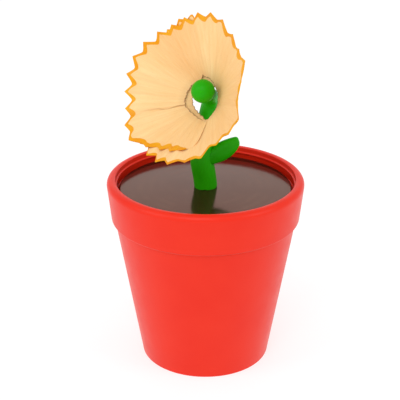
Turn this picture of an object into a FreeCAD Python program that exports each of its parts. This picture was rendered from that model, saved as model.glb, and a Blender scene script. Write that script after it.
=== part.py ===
"""Flower-pot pencil sharpener: a pot with a wedge sharpener in its base, a lift-off "soil" lid
whose stem is the handle, and a pencil shaving that hangs on the stem's knob as the flower.

Millimetres. +Z is up and the origin is the centre of the ring that the pot stands on.
-Y is the front.
"""

import FreeCAD, Part
import math
import os

V = FreeCAD.Vector
UP = V(0, 0, 1)

# How far a cutting shape runs past the material that it cuts
PAST = 2.0

# Pot: outside
POT_H = 54.5
FOOT_R = 18.55
BODY_TOP_R = 25.75
BODY_TOP_Z = 42.2
BAND_BOTTOM_R = 26.75
BAND_BOTTOM_Z = 42.8
LIP_SECTION_R = 1.65
LIP_CENTRE_R = 26.2
LIP_CENTRE_Z = POT_H - LIP_SECTION_R
LIP_START = -10
LIP_END = 118
FOOT_CHAMFER = 0.4

# Pot: inside
WALL = 1.6
LID_WELL_R = 25.0
LID_WELL_TOP_Z = 53.0
LEDGE_Z = 49.4
MOUTH_R = 23.4
MOUTH_BOTTOM_Z = 43.0

# Base plate, held up against an inner flange of the pot by three screws
PLATE_R = 16.6
PLATE_BOTTOM_Z = 1.0
PLATE_TOP_Z = 3.0
PLATE_GAP = 0.2
FLANGE_T = 1.6
FLANGE_INNER_R = 15.2
BOSS_PITCH_R = 13.6
BOSS_R = 2.5
BOSS_TOP_Z = 11.0
WEB_L = 3.4
WEB_T = 1.4
SCREW_ANGLES = (90, 210, 330)
SCREW_R = 1.1
SCREW_TIP_Z = 9.4
SCREW_HEAD_R = 2.1
SCREW_HEAD_H = 1.1
SCREW_HOLE_SPARE = 0.4
HEAD_ROOM = 0.25

# Shape of every self-tapping screw, as shares of its head's radius or height
HEAD_FLAT = 0.6
HEAD_DOME = 0.56
DOME_BULGE = 0.2
RECESS_REACH = 0.54
RECESS_HALF_W = 0.13
RECESS_DEPTH = 0.55
POINT_SHANK_RADII = 1.4

# Pencil guide and the sharpener block that stands on it
GUIDE_R = 5.0
GUIDE_CHAMFER = 0.6
GUIDE_TOP_Z = 6.5
SOCKET_WALL = 1.5
SOCKET_TOP_Z = 11.5
SOCKET_GAP = 0.1
BLOCK_W = 14.0
BLOCK_L = 26.0
BLOCK_BACK_Y = 6.6
CONE_HALF_ANGLE = 12.0
CONE_MOUTH_R = 4.9
CONE_TIP_R = 0.6
CONE_OPENING = 0.15
LEAD_HOLE_R = 0.8
SHAVING_SLOT_W = 4.6
SHAVING_SLOT_D = 2.4
SHAVING_SLOT_START = 1.6
GRIP_R = 16.0
GRIP_DEPTH = 1.3
GRIP_CENTRE_Z = 21.0

# Blade
BLADE_L = 23.6
BLADE_W = 6.8
BLADE_T = 0.5
BLADE_BEVEL = 1.0
BLADE_EDGE_X = 0.12
BLADE_EDGE_T = 0.06
BLADE_SCREW_R = 1.25
BLADE_SCREW_DEPTH = 4.2
BLADE_SCREW_HEAD_R = 2.2
BLADE_SCREW_HEAD_H = 1.2
BLADE_SCREW_FILLET = 0.48
BLADE_SCREW_X = 3.9
BLADE_SCREW_HOLE_SPARE = 0.3
SHANK_GAP = 0.02
SLOT_W = 0.5
SLOT_D = 0.55
SLOT_ANGLE = 35

# Lid
LID_TOP_Z = 51.6
LID_R = 24.4
LID_EDGE = 0.4
SKIRT_R = 23.0
SKIRT_WALL = 1.6
SKIRT_BOTTOM_Z = 44.6
RING_Z = 47.0
RING_SECTION_R = 0.75
RING_R = 22.55
LID_BOSS_R = 5.0
LID_RIBS = 6
LID_RIB_T = 1.2
LID_RIB_BOTTOM_Z = 47.4
LID_RIB_OVERLAP = 1.0

# Stem: centre line points and the stem's radius at each
STEM_LINE = (
    (V(0.08, 0.00, 51.6), 3.25),
    (V(-0.28, 0.00, 54.6), 3.25),
    (V(-0.98, 0.00, 59.3), 3.28),
    (V(-0.80, 0.10, 63.5), 3.05),
    (V(-0.20, 0.20, 68.0), 2.85),
    (V(0.50, 0.25, 72.0), 2.60),
    (V(0.95, 0.10, 75.3), 2.30),
    (V(1.20, -0.90, 77.9), 2.15),
    (V(0.95, -2.70, 79.3), 2.10),
    (V(0.30, -4.60, 80.5), 2.10),
    (V(-0.77, -7.00, 81.9), 2.10),
)
STEM_START_DIRECTION = V(-0.05, 0, 1)
STEM_END_DIRECTION = V(-0.36, -0.8, 0.47)
KNOB_R = 3.2
PEG_R = 2.2
PEG_FLAT = 1.7
PEG_BOTTOM_Z = 46.0
PEG_GAP = 0.05
PEG_OVERLAP = 0.5
WASHER_R = 3.8
WASHER_T = 0.6
STEM_SCREW_R = 1.1
STEM_SCREW_HEAD_R = 2.4
STEM_SCREW_HEAD_H = 1.6
STEM_SCREW_TIP_Z = 50.4

# Leaf: a thick blade that plugs into the stem
LEAF_ROOT = V(-0.4, -1.2, 59.6)
LEAF_TIP = V(9.2, -1.2, 65.8)
LEAF_BOW = 0.2
LEAF_HALF_WIDTH = 2.6
LEAF_HALF_THICKNESS = 1.35
# The thickness stays under this share of the width
LEAF_FLATTEST = 0.95
# Along the leaf: how far, the share of its width, the share of its thickness
LEAF_STATIONS = (
    (0.00, 0.64, 0.74),
    (0.25, 0.86, 0.87),
    (0.45, 1.00, 0.98),
    (0.65, 0.95, 1.00),
    (0.82, 0.75, 0.93),
    (0.93, 0.52, 0.75),
    (1.00, 0.28, 0.45),
)
LEAF_PEG_R = 0.8
LEAF_PEG_START = 0.4
LEAF_PEG_L = 4.6

# Shaving: one turn of a conical ribbon with a scalloped rim
SHAVING_APEX = V(1.5, -2.05, 77.8)
SHAVING_AZIMUTH = 45.0
SHAVING_ELEVATION = 28.0
SHAVING_HALF_ANGLE = 58.0
SHAVING_SLANT = 24.0
SHAVING_HOLE_R = 4.7
SHAVING_T = 0.4
CUSPS = 24
CUSP_DEPTH = 1.8
VALLEY_SHARE = 0.4


def direction(azimuth, elevation):
    """Unit vector turned from -Y towards -X by azimuth and raised by elevation, in degrees."""
    a = math.radians(azimuth)
    e = math.radians(elevation)
    return V(-math.sin(a) * math.cos(e), -math.cos(a) * math.cos(e), math.sin(e))


def polar(r, degrees, z=0.0):
    a = math.radians(degrees)
    return V(r * math.cos(a), r * math.sin(a), z)


def revolve(edges):
    """Solid of revolution about Z from edges that close a face in the XZ plane."""
    return Part.Face(Part.Wire(edges)).revolve(V(0, 0, 0), UP, 360)


def polyline(points):
    return [Part.makeLine(a, b) for a, b in zip(points, points[1:])]


def outline(*points):
    """Straight edges through (r, z) points; the last point joins the first."""
    return polyline([V(r, 0, z) for r, z in points + points[:1]])


def cylinder(r, low, high, centre=V(0, 0, 0)):
    return Part.makeCylinder(r, high - low, V(centre.x, centre.y, low))


def tube(outer, inner, low, high, centre=V(0, 0, 0)):
    return cylinder(outer, low, high, centre).cut(cylinder(inner, low, high, centre))


def block(x0, x1, y0, y1, z0, z1):
    return Part.makeBox(x1 - x0, y1 - y0, z1 - z0, V(x0, y0, z0))


def outer_r(z):
    """The pot's outer radius on its tapering wall."""
    return FOOT_R + (BODY_TOP_R - FOOT_R) * z / BODY_TOP_Z


# --- pot -----------------------------------------------------------------------------------


def lip_point(degrees):
    """A point of the pot's rounded lip, in the XZ plane."""
    return V(LIP_CENTRE_R, 0, LIP_CENTRE_Z) + V(
        LIP_SECTION_R * math.cos(math.radians(degrees)),
        0,
        LIP_SECTION_R * math.sin(math.radians(degrees)),
    )


def pot_profile():
    """Closed section of the pot's wall, from the foot round the lip and back down inside."""
    flange_top = PLATE_TOP_Z + FLANGE_T
    foot_inner = PLATE_R + PLATE_GAP
    outside = [
        (foot_inner, 0),
        (FOOT_R - FOOT_CHAMFER, 0),
        (outer_r(FOOT_CHAMFER), FOOT_CHAMFER),
        (BODY_TOP_R, BODY_TOP_Z),
        (BAND_BOTTOM_R, BAND_BOTTOM_Z),
    ]
    inside = [
        (LID_WELL_R, LID_WELL_TOP_Z),
        (LID_WELL_R, LEDGE_Z),
        (MOUTH_R, LEDGE_Z),
        (MOUTH_R, MOUTH_BOTTOM_Z),
        (outer_r(flange_top) - WALL, flange_top),
        (FLANGE_INNER_R, flange_top),
        (FLANGE_INNER_R, PLATE_TOP_Z),
        (foot_inner, PLATE_TOP_Z),
        (foot_inner, 0),
    ]
    lip_start = lip_point(LIP_START)
    lip_end = lip_point(LIP_END)
    lip = Part.Arc(lip_start, lip_point(90), lip_end)
    edges = polyline([V(r, 0, z) for r, z in outside] + [lip_start])
    edges.append(lip.toShape())
    edges += polyline([lip_end] + [V(r, 0, z) for r, z in inside])
    return edges


def pot_shell():
    """The pot, with three screw bosses that stand on its inner flange."""
    pot = revolve(pot_profile())
    for angle in SCREW_ANGLES:
        centre = polar(BOSS_PITCH_R, angle)
        boss = cylinder(BOSS_R, PLATE_TOP_Z, BOSS_TOP_Z, centre)
        web_end = BOSS_PITCH_R + WEB_L
        web = block(BOSS_PITCH_R, web_end, -WEB_T / 2, WEB_T / 2, PLATE_TOP_Z, BOSS_TOP_Z)
        web.rotate(V(0, 0, 0), UP, angle)
        pot = pot.fuse(boss).fuse(web)
    for angle in SCREW_ANGLES:
        centre = polar(BOSS_PITCH_R, angle)
        hole_top = SCREW_TIP_Z + SCREW_HOLE_SPARE
        pot = pot.cut(cylinder(SCREW_R + SHANK_GAP, PLATE_TOP_Z, hole_top, centre))
    return pot.removeSplitter()


def base_plate():
    """Disc that closes the pot's base, with the pencil guide and a socket for the block."""
    plate = cylinder(PLATE_R, PLATE_BOTTOM_Z, PLATE_TOP_Z)
    half_w = BLOCK_W / 2 + SOCKET_GAP + SOCKET_WALL
    front = -CONE_MOUTH_R - SOCKET_WALL - SOCKET_GAP
    back = BLOCK_BACK_Y + SOCKET_GAP + SOCKET_WALL
    plate = plate.fuse(block(-half_w, half_w, front, back, PLATE_TOP_Z, GUIDE_TOP_Z))
    for side in (-1, 1):
        inner = side * (BLOCK_W / 2 + SOCKET_GAP)
        outer = side * half_w
        low_x, high_x = sorted((inner, outer))
        plate = plate.fuse(block(low_x, high_x, front, back, GUIDE_TOP_Z, SOCKET_TOP_Z))
    plate = plate.fuse(
        block(-half_w, half_w, BLOCK_BACK_Y + SOCKET_GAP, back, GUIDE_TOP_Z, SOCKET_TOP_Z)
    )
    plate = plate.cut(cylinder(GUIDE_R, PLATE_BOTTOM_Z, GUIDE_TOP_Z))
    chamfer = Part.makeCone(
        GUIDE_R + GUIDE_CHAMFER, GUIDE_R, GUIDE_CHAMFER, V(0, 0, PLATE_BOTTOM_Z), UP
    )
    plate = plate.cut(chamfer)
    for angle in SCREW_ANGLES:
        centre = polar(BOSS_PITCH_R, angle)
        head = cylinder(
            SCREW_HEAD_R + HEAD_ROOM, PLATE_BOTTOM_Z, PLATE_BOTTOM_Z + SCREW_HEAD_H, centre
        )
        hole = cylinder(SCREW_R + HEAD_ROOM, PLATE_BOTTOM_Z, PLATE_TOP_Z, centre)
        plate = plate.cut(head).cut(hole)
    return plate.removeSplitter()


def screw(shank_r, tip_z, head_r, head_h, seat_z, centre):
    """Self-tapping screw driven upwards: domed head under seat_z, cross recess, pointed tip."""
    low = seat_z - head_h
    flat_edge = V(head_r * HEAD_FLAT, 0, low)
    dome_edge = V(head_r, 0, low + head_h * HEAD_DOME)
    chord = dome_edge - flat_edge
    middle = flat_edge + chord * 0.5 + V(chord.z, 0, -chord.x) * DOME_BULGE
    profile = [Part.makeLine(V(0, 0, low), flat_edge)]
    profile.append(Part.Arc(flat_edge, middle, dome_edge).toShape())
    profile += polyline([
        dome_edge,
        V(head_r, 0, seat_z),
        V(shank_r, 0, seat_z),
        V(shank_r, 0, tip_z - shank_r * POINT_SHANK_RADII),
        V(0, 0, tip_z),
        V(0, 0, low),
    ])
    body = revolve(profile)
    reach = head_r * RECESS_REACH
    half = head_r * RECESS_HALF_W
    high = low + head_h * RECESS_DEPTH
    body = body.cut(block(-reach, reach, -half, half, low, high))
    body = body.cut(block(-half, half, -reach, reach, low, high))
    body.translate(centre)
    return body


def base_screw(angle):
    seat = PLATE_BOTTOM_Z + SCREW_HEAD_H
    return screw(
        SCREW_R, SCREW_TIP_Z, SCREW_HEAD_R, SCREW_HEAD_H, seat, polar(BOSS_PITCH_R, angle)
    )


# --- sharpener -----------------------------------------------------------------------------


def on_blade_plane(shape):
    """Moves a shape drawn flat on z = 0 (x across, y along the cutter) onto the blade's seat."""
    shape.rotate(V(0, 0, 0), V(1, 0, 0), 90 - CONE_HALF_ANGLE)
    shape.translate(V(0, -CONE_MOUTH_R, GUIDE_TOP_Z))
    return shape


def cutter_cone():
    """The conical bore that the pencil turns in, which just breaks out under the blade."""
    slope = math.tan(math.radians(CONE_HALF_ANGLE))
    mouth = CONE_MOUTH_R + CONE_OPENING
    length = (mouth - CONE_TIP_R) / slope
    return Part.makeCone(mouth, CONE_TIP_R, length, V(0, 0, GUIDE_TOP_Z), UP)


def blade_screw_place():
    """Where the blade's screw stands, across and along the blade's seat."""
    return V(BLADE_SCREW_X, BLOCK_L / 2, 0)


def sharpener_block():
    """Metal wedge: sloped seat for the blade, conical bore, shaving slot and side grips."""
    slope = math.tan(math.radians(CONE_HALF_ANGLE))
    top = GUIDE_TOP_Z + BLOCK_L
    side = [
        V(0, -CONE_MOUTH_R, GUIDE_TOP_Z),
        V(0, BLOCK_BACK_Y, GUIDE_TOP_Z),
        V(0, BLOCK_BACK_Y, top),
        V(0, -CONE_MOUTH_R + BLOCK_L * slope, top),
    ]
    face = Part.Face(Part.makePolygon(side + side[:1]))
    face.translate(V(-BLOCK_W / 2, 0, 0))
    wedge = face.extrude(V(BLOCK_W, 0, 0))
    for sign in (-1, 1):
        x = sign * (BLOCK_W / 2 + GRIP_R - GRIP_DEPTH)
        start = V(x, -CONE_MOUTH_R - PAST, GRIP_CENTRE_Z)
        grip = Part.makeCylinder(GRIP_R, BLOCK_L, start, V(0, 1, 0))
        wedge = wedge.cut(grip)
    slot_left = BLADE_EDGE_X - SHAVING_SLOT_W
    slot_end = BLOCK_L + PAST
    slot = block(slot_left, BLADE_EDGE_X, SHAVING_SLOT_START, slot_end, -SHAVING_SLOT_D, PAST)
    wedge = wedge.cut(on_blade_plane(slot))
    wedge = wedge.cut(cutter_cone())
    wedge = wedge.cut(cylinder(LEAD_HOLE_R, GUIDE_TOP_Z + BLOCK_L / 2, top + PAST))
    tapped_depth = BLADE_SCREW_DEPTH + BLADE_SCREW_HOLE_SPARE
    tapped = Part.makeCylinder(
        BLADE_SCREW_R + SHANK_GAP, tapped_depth, blade_screw_place(), V(0, 0, -1)
    )
    return wedge.cut(on_blade_plane(tapped)).removeSplitter()


def sharpener_blade():
    """Steel blade with one bevelled edge and a screw hole."""
    section = [
        V(BLADE_EDGE_X, 0, 0),
        V(BLADE_EDGE_X + BLADE_W, 0, 0),
        V(BLADE_EDGE_X + BLADE_W, 0, BLADE_T),
        V(BLADE_EDGE_X + BLADE_BEVEL, 0, BLADE_T),
        V(BLADE_EDGE_X, 0, BLADE_EDGE_T),
    ]
    face = Part.Face(Part.makePolygon(section + section[:1]))
    face.translate(V(0, (BLOCK_L - BLADE_L) / 2, 0))
    blade = face.extrude(V(0, BLADE_L, 0))
    start = blade_screw_place() - UP * PAST
    hole = Part.makeCylinder(BLADE_SCREW_R + HEAD_ROOM, 2 * PAST, start)
    return on_blade_plane(blade.cut(hole))


def blade_screw():
    """Slotted screw that clamps the blade."""
    place = blade_screw_place()
    head = Part.makeCylinder(BLADE_SCREW_HEAD_R, BLADE_SCREW_HEAD_H, place + V(0, 0, BLADE_T))
    rounded = head.makeFillet(BLADE_SCREW_FILLET, [head.Edges[0]])
    shank = Part.makeCylinder(
        BLADE_SCREW_R, BLADE_SCREW_DEPTH + BLADE_T, place - V(0, 0, BLADE_SCREW_DEPTH)
    )
    slot_low = BLADE_T + BLADE_SCREW_HEAD_H - SLOT_D
    reach = BLADE_SCREW_HEAD_R + PAST
    slot = block(-reach, reach, -SLOT_W / 2, SLOT_W / 2, slot_low, slot_low + PAST)
    slot.rotate(V(0, 0, 0), UP, SLOT_ANGLE)
    slot.translate(place)
    return on_blade_plane(rounded.fuse(shank).cut(slot).removeSplitter())


# --- lid and stem --------------------------------------------------------------------------


def soil_lid():
    """Disc that drops on the pot's ledge, with a grooved skirt, a central boss and ribs."""
    lid = revolve(
        outline(
            (0, LEDGE_Z),
            (LID_R, LEDGE_Z),
            (LID_R, LID_TOP_Z - LID_EDGE),
            (LID_R - LID_EDGE, LID_TOP_Z),
            (0, LID_TOP_Z),
        )
    )
    lid = lid.fuse(tube(SKIRT_R, SKIRT_R - SKIRT_WALL, SKIRT_BOTTOM_Z, LEDGE_Z))
    lid = lid.fuse(cylinder(LID_BOSS_R, SKIRT_BOTTOM_Z, LEDGE_Z))
    half = LID_RIB_T / 2
    rib_start = LID_BOSS_R - LID_RIB_OVERLAP
    rib_end = SKIRT_R - LID_RIB_OVERLAP
    for i in range(LID_RIBS):
        rib = block(rib_start, rib_end, -half, half, LID_RIB_BOTTOM_Z, LEDGE_Z)
        rib.rotate(V(0, 0, 0), UP, 360 / LID_RIBS * i)
        lid = lid.fuse(rib)
    groove = Part.makeTorus(RING_R, RING_SECTION_R, V(0, 0, RING_Z))
    lid = lid.cut(groove)
    peg_hole = cylinder(PEG_R + PEG_GAP, SKIRT_BOTTOM_Z, LID_TOP_Z)
    reach = PEG_R + PAST
    key = block(-reach, reach, PEG_FLAT + PEG_GAP, reach, SKIRT_BOTTOM_Z, LID_TOP_Z)
    return lid.cut(peg_hole.cut(key)).removeSplitter()


def lid_grip_ring():
    """Soft ring in the skirt's groove that keeps the lid on when the pot is turned over."""
    return Part.makeTorus(RING_R, RING_SECTION_R, V(0, 0, RING_Z))


def stem_body():
    """The stem's curved shaft and knob, without its peg and holes."""
    points = [p for p, r in STEM_LINE]
    line = Part.BSplineCurve()
    line.interpolate(
        points, InitialTangent=STEM_START_DIRECTION, FinalTangent=STEM_END_DIRECTION
    )
    rings = []
    for i, (p, r) in enumerate(STEM_LINE):
        along = line.tangent(line.parameter(p))[0]
        if i == 0:
            along = UP
        rings.append(Part.Wire(Part.Circle(p, along, r).toShape()))
    shaft = Part.makeLoft(rings, True, False)
    return shaft.fuse(Part.makeSphere(KNOB_R, STEM_LINE[-1][0]))


def leaf_blade():
    """The leaf as a loft of ellipses along a slightly bowed line, blunt at its tip."""
    along = LEAF_TIP - LEAF_ROOT
    length = along.Length
    along.normalize()
    side = along.cross(V(0, -1, 0)).normalize()
    face = side.cross(along)
    rings = []
    for t, width, thickness in LEAF_STATIONS:
        centre = LEAF_ROOT + along * (length * t) + side * (LEAF_BOW * 4 * t * (1 - t))
        major = LEAF_HALF_WIDTH * width
        minor = min(LEAF_HALF_THICKNESS * thickness, major * LEAF_FLATTEST)
        ring = Part.Ellipse(centre + side * major, centre + face * minor, centre)
        rings.append(Part.Wire(ring.toShape()))
    return Part.makeLoft(rings, True, False)


def leaf_peg(r):
    along = LEAF_TIP - LEAF_ROOT
    along.normalize()
    return Part.makeCylinder(r, LEAF_PEG_L, LEAF_ROOT + along * LEAF_PEG_START, along)


def stem():
    """Green stem: peg with a flat through the lid, curved shaft, neck and knob."""
    reach = PEG_R + PAST
    peg = cylinder(PEG_R, PEG_BOTTOM_Z, LID_TOP_Z + PEG_OVERLAP)
    peg = peg.cut(block(-reach, reach, PEG_FLAT, reach, PEG_BOTTOM_Z, LID_TOP_Z))
    body = stem_body().fuse(peg)
    hole_top = STEM_SCREW_TIP_Z + SCREW_HOLE_SPARE
    body = body.cut(cylinder(STEM_SCREW_R + SHANK_GAP, PEG_BOTTOM_Z, hole_top))
    return body.cut(leaf_peg(LEAF_PEG_R + SHANK_GAP))


def leaf():
    body = leaf_blade().cut(stem_body())
    body = max(body.Solids, key=lambda s: s.CenterOfMass.x)
    return body.fuse(leaf_peg(LEAF_PEG_R))


def stem_washer():
    return tube(WASHER_R, STEM_SCREW_R + HEAD_ROOM, SKIRT_BOTTOM_Z - WASHER_T, SKIRT_BOTTOM_Z)


def stem_screw():
    seat = SKIRT_BOTTOM_Z - WASHER_T
    return screw(
        STEM_SCREW_R, STEM_SCREW_TIP_Z, STEM_SCREW_HEAD_R, STEM_SCREW_HEAD_H, seat, V(0, 0, 0)
    )


# --- shaving -------------------------------------------------------------------------------


def scallop_prism(peak_r, valley_r, height):
    """Prism whose outline has one pointed cusp per step, with a rounded valley between."""
    step = 360 / CUSPS
    flank = step * (1 - VALLEY_SHARE) / 2
    flank_r = valley_r + (peak_r - valley_r) * VALLEY_SHARE / 2
    edges = []
    for i in range(CUSPS):
        peak = polar(peak_r, i * step)
        down = polar(flank_r, i * step + flank)
        bottom = polar(valley_r, (i + 0.5) * step)
        up = polar(flank_r, (i + 1) * step - flank)
        next_peak = polar(peak_r, (i + 1) * step)
        edges.append(Part.makeLine(peak, down))
        edges.append(Part.Arc(down, bottom, up).toShape())
        edges.append(Part.makeLine(up, next_peak))
    return Part.Face(Part.Wire(edges)).extrude(V(0, 0, height))


def pencil_shaving():
    """Conical ribbon of wood, open towards the front left, with the scalloped painted rim."""
    half = math.radians(SHAVING_HALF_ANGLE)
    rim_r = SHAVING_SLANT * math.sin(half)
    rim_h = SHAVING_SLANT * math.cos(half)
    hole_h = SHAVING_HOLE_R / math.tan(half)
    back = SHAVING_T / math.sin(half)
    edge_r = rim_r + PAST
    edge_h = rim_h + PAST / math.tan(half)
    cone = revolve(
        outline(
            (SHAVING_HOLE_R, hole_h),
            (edge_r, edge_h),
            (edge_r, edge_h - back),
            (SHAVING_HOLE_R, hole_h - back),
        )
    )
    cone = cone.common(scallop_prism(rim_r, rim_r - CUSP_DEPTH, edge_h))
    axis = direction(SHAVING_AZIMUTH, SHAVING_ELEVATION)
    cone.Placement = FreeCAD.Placement(SHAVING_APEX, FreeCAD.Rotation(UP, axis))
    return cone


def main():
    os.makedirs("parts", exist_ok=True)
    nodes = {
        "pot_shell": pot_shell(),
        "base_plate": base_plate(),
        "base_screws": Part.makeCompound([base_screw(angle) for angle in SCREW_ANGLES]),
        "sharpener_block": sharpener_block(),
        "sharpener_blade": sharpener_blade(),
        "blade_screw": blade_screw(),
        "soil_lid": soil_lid(),
        "lid_grip_ring": lid_grip_ring(),
        "stem": stem(),
        "leaf": leaf(),
        "stem_washer": stem_washer(),
        "stem_screw": stem_screw(),
        "pencil_shaving": pencil_shaving(),
    }
    for name, shape in nodes.items():
        box = shape.BoundBox
        print("%-16s valid %s solids %d volume %.1f  z %.1f..%.1f" % (
            name, shape.isValid(), len(shape.Solids), shape.Volume, box.ZMin, box.ZMax))
        shape.exportStep("parts/%s.step" % name)


main()
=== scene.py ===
"""Flower-pot pencil sharpener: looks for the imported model. Metres, +Z up, -Y to the front."""

import math
import random

import bmesh
import bpy
from mathutils import Matrix, Vector


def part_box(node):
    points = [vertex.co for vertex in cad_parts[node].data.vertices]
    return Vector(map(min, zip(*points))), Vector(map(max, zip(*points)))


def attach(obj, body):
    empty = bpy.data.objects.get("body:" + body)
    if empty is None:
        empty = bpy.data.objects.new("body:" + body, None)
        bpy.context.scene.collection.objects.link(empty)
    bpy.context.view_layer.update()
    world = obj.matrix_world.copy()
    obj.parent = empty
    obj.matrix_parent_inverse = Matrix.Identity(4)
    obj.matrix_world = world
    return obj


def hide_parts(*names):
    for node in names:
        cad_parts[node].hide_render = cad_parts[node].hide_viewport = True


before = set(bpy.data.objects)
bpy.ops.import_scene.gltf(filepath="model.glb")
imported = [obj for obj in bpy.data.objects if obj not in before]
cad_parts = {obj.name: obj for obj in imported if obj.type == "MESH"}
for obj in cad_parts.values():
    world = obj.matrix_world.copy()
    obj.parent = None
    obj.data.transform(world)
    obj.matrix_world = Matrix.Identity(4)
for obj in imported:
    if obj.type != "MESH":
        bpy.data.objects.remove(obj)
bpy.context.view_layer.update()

MM = 0.001
TAU = 2 * math.pi
NEARLY_NOTHING = 1e-6
# Bevel of the small boxes' edges (mm)
BOX_BEVEL = 0.15

# Pot (mm). The heights of the pot and the lid come from model.glb, and so does the lid's radius
POT_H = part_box("pot_shell")[1].z / MM
FOOT_INNER_R, FOOT_R = 16.8, 18.55
BODY_TOP_R, BODY_TOP_Z = 25.75, 42.2
BAND_R, BAND_Z = 26.75, 42.8
LIP_R, LIP_CENTRE_R, LIP_START, LIP_END = 1.65, 26.2, -10, 118
# How many degrees before its inner edge the lip's round stops, so that the edge is eased
LIP_EDGE_TURN = 8
# The well that the lid drops into has a small bead round its mouth
WELL_R, WELL_DEEP_R, BEAD_ABOVE_R, BEAD_Z = 25.0, 25.55, 25.35, 52.9
BEAD_H, BEAD_UNDERCUT = 0.25, 0.55
LEDGE_Z, MOUTH_R, MOUTH_Z = 49.4, 23.4, 43.0
# Heights above the ledge of the step at the foot of the well
STEP_LOW, STEP_HIGH = 0.5, 0.8
WALL, FLANGE_R, FLANGE_LOW, FLANGE_TOP = 1.6, 15.2, 3.0, 4.6
BOSS_PITCH_R, BOSS_R, BOSS_TOP_Z, BOSS_ANGLES = 13.6, 2.5, 11.0, (90, 210, 330)
WEB_L, WEB_T = 3.2, 1.4
# The bosses start inside the flange, and the webs run into the flange and the bosses
BOSS_START, WEB_SINK, WEB_TOP_DROP, WEB_OVERLAP = 0.3, 0.7, 0.1, 0.5

# Lid (mm)
LID_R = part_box("soil_lid")[1].x / MM
LID_TOP_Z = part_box("soil_lid")[1].z / MM
SKIRT_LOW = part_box("soil_lid")[0].z / MM
SKIRT_R, SKIRT_WALL, LID_BOSS_R = 23.0, 1.6, 5.0
RING_R, RING_SECTION_R, RING_Z, GROOVE_HALF_H = 22.55, 0.75, 47.0, 1.2
LID_RIBS, RIB_T, RIB_LOW, RIB_OVERLAP, RIB_RISE = 6, 1.2, 47.4, 0.5, 0.4

# Stem: centre line and radius (mm)
STEM = (
    ((0.08, 0.00, 51.6), 3.25),
    ((-0.28, 0.00, 54.6), 3.25),
    ((-0.98, 0.00, 59.3), 3.28),
    ((-0.80, 0.10, 63.5), 3.05),
    ((-0.20, 0.20, 68.0), 2.85),
    ((0.50, 0.25, 72.0), 2.60),
    ((0.95, 0.10, 75.3), 2.30),
    ((1.25, -0.90, 77.9), 2.2),
    ((1.05, -2.70, 79.3), 2.2),
    ((0.38, -4.60, 80.5), 2.2),
    ((-0.77, -7.00, 81.9), 2.10),
)
KNOB_R, PEG_R, PEG_LOW, PEG_CHAMFER = 3.2, 2.2, 46.0, 0.25
# How far above the lid the stem widens from its peg, and where its rounded foot ends
STEM_SEAT, STEM_FOOT_TOP = 0.01, 0.3
# The foot: offset along X, height above the lid, and how much thinner the stem is there
STEM_FOOT = ((0.0, 0.012, 0.2), (0.08, 0.08, 0.06), (0.08, 0.2, 0.0))
# The knob's rings: degrees from its middle to the first and from there to the last, how many of
# its radii behind its middle the shaft's rings stop, and the last ring's radius
KNOB_START, KNOB_SWEEP, KNOB_SHAFT_END, KNOB_POLE_R = -60, 150, 0.90, 0.02

# Leaf (mm). The table gives the share of its full width at each share of its length
LEAF_ROOT = Vector((-0.4, -1.2, 59.6))
LEAF_TIP = Vector((9.2, -1.2, 65.8))
LEAF_HALF_WIDTH, LEAF_HALF_THICK, LEAF_BOW = 2.65, 1.35, 0.2
LEAF_WIDTHS = (
    (0, 0.64), (0.25, 0.86), (0.45, 1.0), (0.65, 0.95), (0.82, 0.77), (0.92, 0.60), (0.97, 0.47),
    (0.99, 0.36), (1, 0.24),
)
# The section: the share of its thickness that doesn't shrink with its width, its greatest
# thickness as a share of its width, and the powers that square its ellipse
LEAF_THIN_SHARE, LEAF_FLATTEST, LEAF_SQUARE_WIDE, LEAF_SQUARE_THICK = 0.35, 0.95, 0.85, 0.8
# The hollow along its middle: depth and width as shares, and where along it begins and ends
LEAF_HOLLOW, LEAF_HOLLOW_WIDTH = 0.12, 0.4
LEAF_HOLLOW_BEGINS, LEAF_HOLLOW_ENDS = (0.3, 0.6), (0.85, 1.0)
# How steeply the tip's end leans, where along the leaf that begins, and the end's bevel
LEAF_LEAN, LEAF_LEANING, LEAF_TIP_BEVEL = 0.22, (0.8, 1.0), 0.22
# The power by which the leaf's rings crowd towards its tip
LEAF_CROWDING = 1.35

# Shaving: a conical ribbon of about 1.8 turns (mm, degrees). Places round it are angles turned
# from its start, and places along its slant are distances from the apex
APEX = Vector((1.5, -2.05, 77.8))
AZIMUTH, ELEVATION, HALF_ANGLE = 45.0, 28.0, 58.0
START, TURNED, RIBBON_T, TURN_GAP = 307.0, 650.0, 0.22, 0.5
# Scallops: V-shaped peaks, each cut differently deep and leaning to one side
CUSP_STEP, CUSP_AT, CUSP_DEPTH, CUSP_POWER = 13.6, 209.3, 1.7, 1.35
CUSP_DEPTH_SPREAD, CUSP_LEAN_SPREAD, CUSP_LEAN, CUSP_SEED = 0.25, 0.35, 0.12, 7
# Where the scallops begin, where they reach their full depth, and by what share the first ones
# are shallower
SCALLOPED, SCALLOPS_DEEPEN, FIRST_LOSS = (10, 26), (45, 70), 0.2
# Where the blade only grazed the pencil, and by what share the scallops are shallower there
GRAZED_FROM, GRAZED_TO, GRAZED_LOSS = (276, 296), (350, 370), 0.4
# The start of the ribbon: its share of the thickness, how far it dips behind the rest, and how far
# the brown edge by the hole is kept from it, each with where that wears off
START_THIN, START_THICKENS = 0.25, (0, 25)
START_DIP, START_RISES = 0.36, (0, 22)
START_GRAIN, START_SETTLES = 4.0, (1, 12)
# The painted band: width, its least share where it begins, and where it has begun
PAINT_W, PAINT_THINNEST, PAINT_BEGINS, PAINTED_FROM = 1.15, 0.05, (11, 20), 12
# Its greatest share of the ribbon, and the ribbon's least width
PAINT_SHARE, RIBBON_LEAST = 0.5, 0.3
# By what share it is wider on one flank and on the first scallops, and narrower on later ones
PAINT_FLANK, PAINT_FIRST, PAINT_FIRST_ENDS = 0.3, 0.4, (45, 85)
PAINT_LAST, PAINT_LAST_BEGINS = 0.35, (268, 300)
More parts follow.
